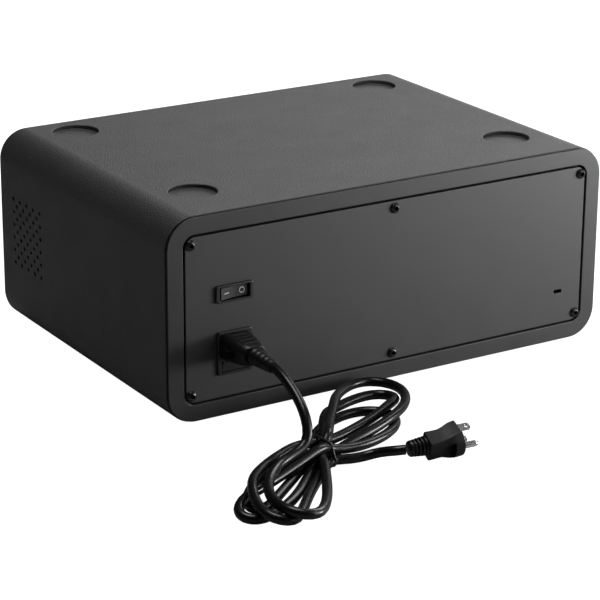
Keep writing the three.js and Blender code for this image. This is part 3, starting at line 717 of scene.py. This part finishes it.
# ---------- feet ----------
foot_profile = [
    (15.5, 0), (17.2, 0.25), (17.9, 1.0), (18, 1.6), (18, 3.4), (17.7, 3.7), (3.7, 3.7), (3.7, 8.4),
]
for number, (x, y) in enumerate([(x, y) for y in FOOT_ROWS for x in (-FOOT_X, FOOT_X)], 1):
    shape = slid(lathe(foot_profile, 48), x, y)
    piece(f"rubber_foot_{number}", shape, "foot_rubber", stands_for=[f"foot_{number}"])


# ---------- rocker switch ----------
def flange_rings(width, height, radius, y, edge):
    """Rings of a flange's outer edge, rounded off towards its face at y."""
    rings = []
    for inset, along in arc((edge, y - edge), edge, 180, 90, 3):
        rings.append(at_y(outline(width - 2 * inset, height - 2 * inset, radius - inset), along))
    return rings


def pocket_rings(width, height, radius, y, depth, edge=0.3):
    """Rings of a pocket's mouth and wall, from the face at y down to depth."""
    rings = []
    for out, along in arc((edge, y - edge), edge, 90, 180, 3):
        size = (width + 2 * out, height + 2 * out)
        rings.append(at_y(outline(*size, radius + out), along))
    rings.append(at_y(outline(width, height, radius), y - depth))
    return rings


bezel_rings = [at_y(outline(28, 11.8, 1), 118), at_y(outline(28, 11.8, 1), REAR)]
bezel_rings += [at_y(outline(32, 13.4, 2), REAR)]
bezel_rings += flange_rings(32, 13.4, 2, 141.8, 0.7)
bezel_rings += pocket_rings(25.8, 10.6, 1, 141.8, 8)
piece("switch_surround", slid(skin(bezel_rings), INLET_X, 0, SWITCH_Z), "black_plastic",
      stands_for=["switch_bezel"], sharp=50)

ROCKER_HALF = 12.2
ROCKER_TILT = Matrix.Translation((INLET_X, REAR, SWITCH_Z)) @ Matrix.Rotation(math.radians(7), 4, "Z")


def rocker_face(x):
    """How far the rocker's shallow V stands out at x."""
    return -0.6 + 1.2 * (abs(x) / ROCKER_HALF) ** 1.5


def rocker_shape():
    """The rocker's profile along X, its two ends across Z drawn in a little."""
    profile = [(-ROCKER_HALF, -3), (-4, -6), (4, -6), (ROCKER_HALF, -3)]
    steps = 20
    for i in range(steps + 1):
        x = ROCKER_HALF - 2 * ROCKER_HALF * i / steps
        profile.append((x, rocker_face(x)))
    rings = []
    for z, inset in ((-4.8, 0.4), (-4.4, 0), (4.4, 0), (4.8, 0.4)):
        ring = []
        for x, y in profile:
            shrink = 1 - inset / ROCKER_HALF
            ring.append((x * shrink, y - inset * (y > -1), z))
        rings.append(ring)
    return placed(skin(rings), ROCKER_TILT)


def raised_mark(flat, radius, looped):
    """A raised line on the rocker's face; flat gives its (x, z) points."""
    points = [(x, rocker_face(x) + 0.02, z) for x, z in flat]
    return placed(tube(points, radius, 8, looped), ROCKER_TILT)


piece("rocker", rocker_shape(), "black_plastic", "switch_rocker", ["switch_rocker"], sharp=40)
dash = [(4.7 + 4.6 * i / 6, 0) for i in range(7)]
piece("rocker_dash", raised_mark(dash, 0.4, False), "black_plastic", "switch_rocker",
      material=MARK_PAINT)
ring_mark = shifted(circle(2.1, 32), -7, 0)
piece("rocker_ring", raised_mark(ring_mark, 0.38, True), "black_plastic", "switch_rocker",
      material=MARK_PAINT)

# ---------- power inlet ----------
inlet_rings = [at_y(outline(26.8, 30.8, 1), 112), at_y(outline(26.8, 30.8, 1), REAR)]
inlet_rings += [at_y(outline(29.5, 34, 2.5), REAR)]
inlet_rings += flange_rings(29.5, 34, 2.5, 141.8, 0.8)
inlet = piece("inlet", slid(skin(inlet_rings), INLET_X, 0, INLET_Z), "black_plastic",
              stands_for=["inlet_body"], sharp=50)
socket = slid(skin([at_y(outline(24.6, 16.8, 3), y) for y in (122, 150)]), INLET_X, 0, SOCKET_Z)
drawer_bay = block((INLET_X - 11.4, INLET_X + 11.4), (118, 150), (39.6, 48.4), 0.3)
carve(inlet, merged(socket, drawer_bay))
dress(inlet, "black_plastic", "root", [], bevel=0.25, sharp=50)

drawer = block((INLET_X - 11, INLET_X + 11), (119, 141.4), (40, 48), 0.4)
drawer_lip = block((INLET_X - 11, INLET_X + 11), (140.8, 142.6), (45.6, 47.9), 0.35)
drawer_piece = piece("fuse_tray", drawer, "black_plastic", "fuse_drawer", ["fuse_drawer"])
carve(drawer_piece, drawer_lip, "UNION")
dress(drawer_piece, "black_plastic", "fuse_drawer", [])


# ---------- connector ----------
def connector_shape():
    """The moulded connector, its face at y 142.1, drawn round (0, 0)."""
    rings = [at_y(outline(23.8, 16.2, 3), 123), at_y(outline(23.8, 16.2, 3), 142.1)]
    for inset, along in arc((0.9, 143), 0.9, 270, 180, 3):
        rings.append(at_y(outline(27 - 2 * inset, 19.6 - 2 * inset, 5 - inset), along))
    for y, width, height, radius in (
        (150, 26, 19.2, 5.5), (156, 24.6, 18.6, 6), (162, 22.8, 17.6, 6.2), (166.5, 20.8, 16.4, 6.4),
        (169, 19, 15.2, 6.4), (170, 17, 13.6, 6),
    ):
        rings.append(at_y(outline(width, height, radius), y))
    return skin(rings)


def boot_shape(length=27, ribs=5, wide=7.0, narrow=5.0, start=168.5):
    """A bend relief in rounded ribs along Y."""
    rings = []
    pitch = length / ribs
    steps = 6
    for rib in range(ribs):
        for i in range(steps):
            along = rib + i / steps
            radius = wide + (narrow - wide) * along / ribs
            groove = {0: 1.0, 1: 0.35, steps - 1: 0.35}.get(i, 0.0)
            rings.append([(x, start + pitch * along, z) for x, z in circle(radius - groove, 32)])
    rings.append([(x, start + length, z) for x, z in circle(narrow - 0.2, 32)])
    rings.append([(x, start + length + 1.2, z) for x, z in circle(narrow - 0.9, 32)])
    return skin(rings)


connector = piece("connector", slid(connector_shape(), INLET_X, 0, SOCKET_Z), "cord_rubber",
                  stands_for=["cord_connector"], sharp=45)
grips = []
for y in (147, 152.5, 158, 163.5):
    ridge_top = SOCKET_Z + 9.55 - (y - 147) * 0.055
    bar = block((INLET_X - 6.3, INLET_X + 6.3), (y - 0.8, y + 0.8), (ridge_top - 2, ridge_top + 0.65), 0.5)
    grips.append(bar)
carve(connector, merged(*grips), "UNION")
side_grip = turned(lathe([(0.5, -3), (6.5, -1.2), (8, 1.5)], 32), 90, "Y")
side_grip = placed(side_grip, Matrix.Diagonal((1, 1.1, 0.62, 1)))
carve(connector, slid(side_grip, INLET_X + 13, 154.5, SOCKET_Z))
dress(connector, "cord_rubber", "root", [], material=MOULDED, sharp=45)
boot = piece("connector_boot", slid(boot_shape(), INLET_X, 0, SOCKET_Z), "cord_rubber",
             material=MOULDED, sharp=60)

# ---------- plug ----------
# Shapes of the plug are drawn along X from the cord's end, and PLUG lays them on the floor.
PLUG = (
    Matrix.Translation((77, 275.5, 10.7))
    @ Matrix.Rotation(math.radians(172), 4, "Z")
    @ Matrix.Rotation(math.radians(-2), 4, "Y")
    @ Matrix.Rotation(math.radians(22), 4, "X")
)


def rounded(corners, radii, steps=5):
    """A closed polygon with each corner eased over its radius."""
    points = []
    for i, corner in enumerate(corners):
        here = Vector(corner)
        back = Vector(corners[i - 1]) - here
        ahead = Vector(corners[(i + 1) % len(corners)]) - here
        reach = min(radii[i], 0.45 * back.length, 0.45 * ahead.length)
        before = here + back.normalized() * reach
        after = here + ahead.normalized() * reach
        for k in range(steps + 1):
            t = k / steps
            points.append(tuple(before * (1 - t) ** 2 + here * 2 * t * (1 - t) + after * t**2))
    return points


def plug_section(x, far, top, ridge, crown, ground, bottom):
    """The plug's section at x: flat on top, rounded towards its ground pin."""
    corners = [
        (far, top), (ridge, crown), (ground * 0.86, crown * 0.55), (ground, -bottom * 0.25),
        (ground * 0.8, -bottom * 0.85), (ridge, -bottom), (far, -bottom * 0.9),
    ]
    flat = rounded(corners, [1.4, 1.0, 2.4, 3.0, 3.0, 2.4, 2.0])
    return [(x, y, z) for y, z in flat]


def plug_shape():
    """The plug's body, skinned over its sections."""
    stations = [
        (14, 6.3, 7.2, -6.4, 6.4, -8.2, 8.4), (14.7, 6.9, 7.8, -7, 7, -8.8, 9),
        (19, 7.1, 7.4, -6.8, 7.2, -9, 9), (25, 7.6, 7.0, -6, 7.6, -9.6, 8.8),
        (29, 8.8, 7.1, -5.1, 8.2, -11, 9.8), (32, 10, 7.4, -4.3, 8.7, -12.2, 10.4),
        (35, 11.2, 7.7, -3.6, 9.2, -12.4, 10.4), (40.3, 12.2, 7.9, -2.5, 9.5, -12.3, 9.8),
        (41, 11.7, 7.4, -2.4, 9, -11.8, 9.3),
    ]
    return skin([plug_section(*station) for station in stations])


def grip_cutter():
    """A hollow that deepens from x 17 towards a straight edge at x 33.5."""
    rings = []
    steps = 12
    for i in range(steps + 1):
        x = 17 + 16.5 * i / steps
        size = math.sqrt(1 - (1 - (i + 0.15) / (steps + 0.15)) ** 2)
        ring = [(x, -13.2 + 6.4 * size * cy, -2.2 + 9.6 * size * cz) for cy, cz in circle(1, 32)]
        rings.append(ring)
    return skin(rings)


def relief_shape():
    """The plug's ribbed bend relief, along X."""
    profile = [(0.0, 4.4), (0.4, 5.5), (1.2, 6.0), (2.6, 6.1), (3.0, 4.9)]
    for rib in range(4):
        x = 3.4 + rib * 2.8
        profile += [(x, 4.9), (x + 0.3, 6.3 + rib * 0.3), (x + 1.5, 6.4 + rib * 0.3), (x + 2.0, 4.9)]
    profile.append((15, 5.4))
    return skin([[(x, y, z) for y, z in circle(r, 32)] for x, r in profile])


plug = piece("plug", placed(plug_shape(), PLUG), "cord_rubber", stands_for=["plug_body"], sharp=38)
carve(plug, placed(grip_cutter(), PLUG))
dress(plug, "cord_rubber", "root", [], material=MOULDED, bevel=0.25, sharp=38)
relief = piece("plug_relief", placed(relief_shape(), PLUG), "cord_rubber",
               material=MOULDED, sharp=60)


def prong(z):
    """A flat blade; the hole near its tip is cut afterwards."""
    flat = rounded([(40, 1.3), (40, 7.7), (49.2, 7.7), (50.4, 6), (50.4, 3), (49.2, 1.3)], [0.4] * 6)
    rings = [[(x, y, z + dz) for x, y in flat] for dz in (-0.75, 0.75)]
    return skin(rings)


prongs = piece("plug_blades", placed(merged(prong(6.35), prong(-6.35)), PLUG), "bright_metal")
hole = slid(lathe([(1.4, -9), (1.4, 9)], 20), 47.4, 4.5)
carve(prongs, placed(hole, PLUG))
dress(prongs, "bright_metal", "root", [], bevel=0.15)
pin_profile = [(40, 2.4), (50, 2.4), (51.4, 2.1), (52.4, 1.3), (52.8, 0.4)]
pin = skin([[(x, y - 7.4, z) for y, z in circle(r, 24)] for x, r in pin_profile])
earth_pin = piece("plug_earth_pin", placed(pin, PLUG), "bright_metal", sharp=50)


# ---------- wire tie ----------
def tie_points():
    """The tie's loop round the strands."""
    flat = rounded(
        [(229, 0.9), (226.6, 5), (230, 16.4), (252, 17.4), (257.8, 6), (255.5, 0.9)],
        [2, 3, 3, 4, 4, 2], 6,
    )
    return [(TIE.x + 0.4 * math.sin(k), y, z) for k, (y, z) in enumerate(flat)]


def twist_points(phase):
    """One of the tie's two ends, twisted together at the side towards the housing."""
    points = []
    for i in range(31):
        share = i / 30
        angle = share * TURN * 4 + phase
        center = Vector((127.5, 228, 12)).lerp(Vector((139, 222.5, 7.5)), share)
        points.append(center + Vector((0, 0.75 * math.cos(angle), 0.75 * math.sin(angle))))
    return points


tie = piece("wire_tie", tube(tie_points(), 0.9, 10, looped=True), "cord_rubber",
            stands_for=["cord_tie"], material=TIE_WIRE, sharp=80)
twists = merged(*[tube(twist_points(phase), 0.85, 10) for phase in (0, math.pi)])
tie_ends = piece("wire_tie_ends", twists, "cord_rubber", material=TIE_WIRE, sharp=80)

# ---------- cassette spring ----------
def spring_points(radius=22, turns=5, low=37.1, high=75.9):
    """The follower's coil spring, standing on the cassette's floor at (-90, 43)."""
    points = []
    steps = turns * 24
    for i in range(steps + 1):
        share = i / steps
        angle = TURN * turns * share
        x, y = radius * math.cos(angle), radius * math.sin(angle)
        points.append((x - 90, y + 43, low + (high - low) * share))
    return points


spring = piece("cassette_spring", tube(spring_points(), 1.2, 10), "bright_metal", "cassette",
               ["follower_spring"], sharp=60)
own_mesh(spring)

# ---------- parts kept from the CAD ----------
KEPT = {
    "panel_plastic": ["front_panel"],
    "black_plastic": ["fan_frame", "fan_rotor", "image_sensor", "cassette_box", "cassette_lid"],
    "grey_plastic": [
        "bill_bezel", "key_1", "key_2", "key_3", "cassette_front", "lower_guide", "upper_guide",
        "stacker_frame",
    ],
    "clear_green": ["bezel_light_guide"],
    "smoked_lens": ["display_window"],
    "board_green": ["front_board", "main_board"],
    "zinc_steel": [
        "chassis_tray", "cassette_cradle", "power_supply", "validator_side_left",
        "validator_side_right", "transport_motor", "stacker_motor", "follower_plate",
    ],
    "roller_rubber": [
        "drive_shaft_front", "drive_shaft_rear", "pinch_shaft_front", "pinch_shaft_rear", "drive_belt",
    ],
    "natural_plastic": ["motor_pinion", "pusher_plate"],
    "bright_metal": ["stacker_pinion", "lock_core"],
}

for slot, names in KEPT.items():
    for name in names:
        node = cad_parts[name]
        node.data.materials.clear()
        node.data.materials.append(FINISHES[slot])
        node.data.shade_smooth()
        weld = node.modifiers.new("weld", "WELD")
        weld.merge_threshold = 0.01 * MM
        soften(node, 0.25)


# ---------- studio ----------
# How bright the floor and the world look to the camera, and how much light they cast.
FLOOR_SEEN = 1.0
FLOOR_CAST = 0.0
SKY_SEEN = 1.0
SKY_CAST = 0.02


def area_light(name, place, aim, size, energy):
    """A soft light that the camera doesn't see itself."""
    data = bpy.data.lights.new(name, "AREA")
    data.shape = "RECTANGLE"
    data.size = size[0]
    data.size_y = size[1]
    data.energy = energy
    light = bpy.data.objects.new(name, data)
    light.location = place
    light.rotation_mode = "QUATERNION"
    light.rotation_quaternion = (Vector(place) - Vector(aim)).to_track_quat("Z", "Y")
    light.visible_camera = False
    bpy.context.scene.collection.objects.link(light)


def lit_only_for_camera(tree, target, seen, cast):
    """Makes a strength bright where the camera looks at it and weaker as a light."""
    path = new_node(tree, "LightPath")
    level = new_node(tree, "MapRange")
    level.inputs["To Min"].default_value = cast
    level.inputs["To Max"].default_value = seen
    tree.links.new(path.outputs["Is Camera Ray"], level.inputs["Value"])
    tree.links.new(level.outputs["Result"], target)


def make_floor():
    """A plain pale floor, a hair below the feet."""
    half = 15.0
    mesh = bpy.data.meshes.new("floor")
    corners = [(-half, -half, 0), (half, -half, 0), (half, half, 0), (-half, half, 0)]
    mesh.from_pydata(corners, [], [(0, 1, 2, 3)])
    floor = bpy.data.objects.new("floor", mesh)
    floor.location.z = -0.0005
    bpy.context.scene.collection.objects.link(floor)
    mat = bpy.data.materials.new("floor")
    mat.use_nodes = True
    tree = mat.node_tree
    shader = tree.nodes["Principled BSDF"]
    shader.inputs["Base Color"].default_value = (0.3, 0.3, 0.3, 1)
    shader.inputs["Roughness"].default_value = 0.9
    shader.inputs["Specular IOR Level"].default_value = 0.1
    shader.inputs["Emission Color"].default_value = (1, 1, 1, 1)
    lit_only_for_camera(tree, shader.inputs["Emission Strength"], FLOOR_SEEN, FLOOR_CAST)
    mesh.materials.append(mat)


def make_world():
    world = bpy.data.worlds.new("studio")
    world.use_nodes = True
    background = world.node_tree.nodes["Background"]
    background.inputs["Color"].default_value = (1, 1, 1, 1)
    lit_only_for_camera(world.node_tree, background.inputs["Strength"], SKY_SEEN, SKY_CAST)
    bpy.context.scene.world = world


make_floor()
make_world()
# Name, place, the point it faces, width and height, power; in metres and watts.
area_light("rear_high", (-0.6, 0.75, 0.5), (-0.1, 0.14, 0.08), (0.5, 0.5), 2.7)
area_light("rear_near", (-0.6, 0.8, 0.12), (-0.1, 0.14, 0.1), (0.5, 0.22), 1.8)
area_light("rear_low", (-0.9, 0.6, 0.12), (-0.1, 0.14, 0.1), (0.4, 0.22), 8)
area_light("front_left", (-1.6, -1.9, 1.1), (0, 0, 0.12), (1.8, 1.2), 10)
area_light("left", (-2.2, -0.9, 1.4), (0, 0, 0.12), (1.2, 1.2), 30)
area_light("top", (0.1, 0, 2), (0, 0, 0.1), (1, 1), 28)
bpy.context.scene.view_settings.view_transform = "Standard"
